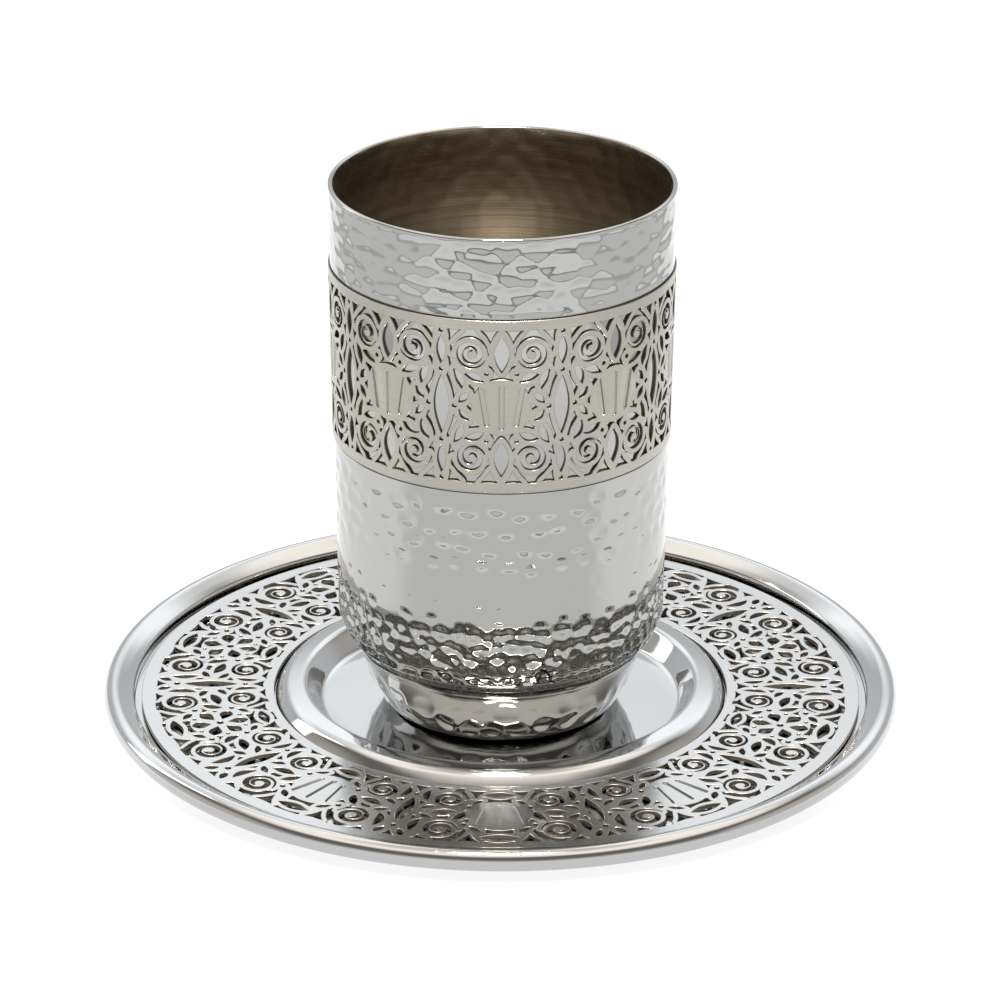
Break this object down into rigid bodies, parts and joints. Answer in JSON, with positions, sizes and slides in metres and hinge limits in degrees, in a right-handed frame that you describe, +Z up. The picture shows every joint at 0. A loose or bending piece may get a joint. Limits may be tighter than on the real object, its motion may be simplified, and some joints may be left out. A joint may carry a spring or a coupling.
{
  "type": "kiddush cup",
  "caption": "Stemless hammered steel ceremonial cup with a pierced sleeve, standing in a round saucer with a pierced ring in its channel.",
  "frame": {"origin": "on the common axis of cup and saucer, on the surface that the saucer stands on", "axes": "+Z up along the common axis; -Y towards the front, where the strokes in the inscription's place are"},
  "size_m": [0.13, 0.13, 0.0901],
  "materials": {
    "polished_steel": "mirror-polished stainless steel",
    "ring_steel": "fine satin stainless steel, cut through",
    "hammered_steel": "hammered and polished stainless steel, brushed inside",
    "band_steel": "satin steel with a faint warm champagne tone, cut through"
  },
  "bodies": {
    "root": {"saucer": "polished_steel", "saucer_ring": "ring_steel", "cup": "hammered_steel", "cup_band": "band_steel"}
  },
  "joints": []
}
